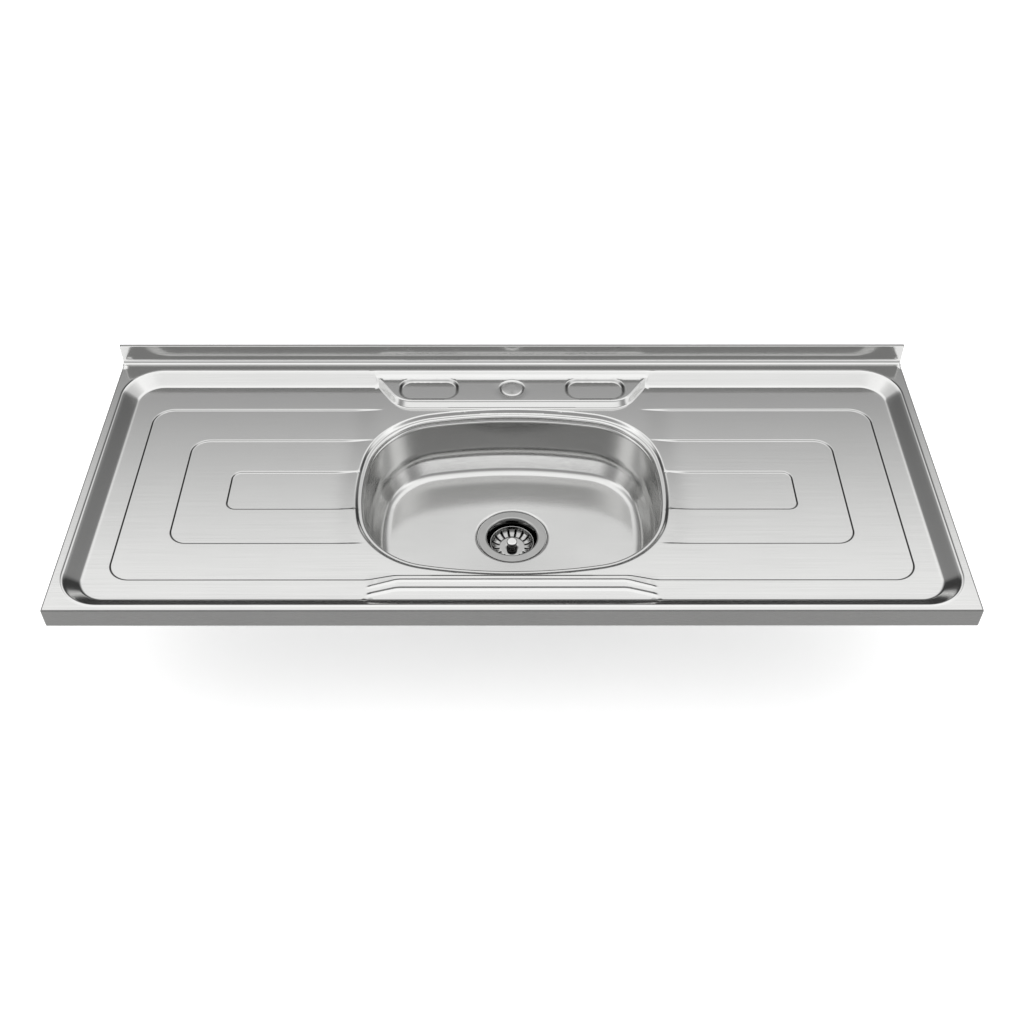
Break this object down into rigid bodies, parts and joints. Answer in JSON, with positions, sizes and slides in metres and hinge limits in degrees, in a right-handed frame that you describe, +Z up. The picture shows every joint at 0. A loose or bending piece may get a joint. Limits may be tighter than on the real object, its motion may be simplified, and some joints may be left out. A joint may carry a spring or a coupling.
{
  "type": "kitchen sink with drainboard",
  "caption": "Lay-on stainless kitchen sink: a rounded bowl between two terraced drainboards, a low upstand, a tap ledge and a basket strainer waste that lifts out.",
  "frame": {"origin": "centre of the seat plane, the underside of the turned-in hem, under the middle of the top", "axes": "+X to the right, +Y to the wall, +Z up; the front apron faces -Y"},
  "size_m": [1.2, 0.505, 0.2899],
  "materials": {
    "brushed_stainless": "fine brushed grain from side to side",
    "satin_stainless": "satin, drawn and polished",
    "polished_stainless": "polished",
    "spring_steel": "plain spring steel",
    "chromed_brass": "chrome plated",
    "galvanised_steel": "galvanised, dull with a faint spangle",
    "black_rubber": "moulded rubber",
    "bitumen_pad": "matt self-adhesive damping sheet",
    "fibre_board": "pressed fibre",
    "grey_polypropylene": "moulded, slightly satin"
  },
  "bodies": {
    "sink": {"sink_top": "brushed_stainless", "bowl": "satin_stainless", "waste_cup": "polished_stainless", "flange_seal": "black_rubber", "bowl_gasket": "black_rubber", "friction_ring": "fibre_board", "lock_nut": "grey_polypropylene", "outlet_washer": "black_rubber", "tailpiece": "chromed_brass", "coupling_nut": "grey_polypropylene", "bowl_pad_left": "bitumen_pad", "drainboard_pad_left": "bitumen_pad", "rail_front_left": "galvanised_steel", "bracket_front_left": "galvanised_steel", "rail_rear_left": "galvanised_steel", "bracket_rear_left": "galvanised_steel", "bowl_pad_right": "bitumen_pad", "drainboard_pad_right": "bitumen_pad", "rail_front_right": "galvanised_steel", "bracket_front_right": "galvanised_steel", "rail_rear_right": "galvanised_steel", "bracket_rear_right": "galvanised_steel"},
    "strainer_basket": {"basket": "polished_stainless", "basket_knob": "polished_stainless", "basket_stem": "polished_stainless", "stopper_retainer": "polished_stainless", "stopper_seal": "black_rubber", "stopper_washer": "polished_stainless", "stem_clip": "spring_steel"}
  },
  "joints": [
    {"name": "basket_lift", "type": "slide", "parent": "sink", "child": "strainer_basket", "axis": [0, 0, 1], "range_m": [0, 0.24]}
  ]
}
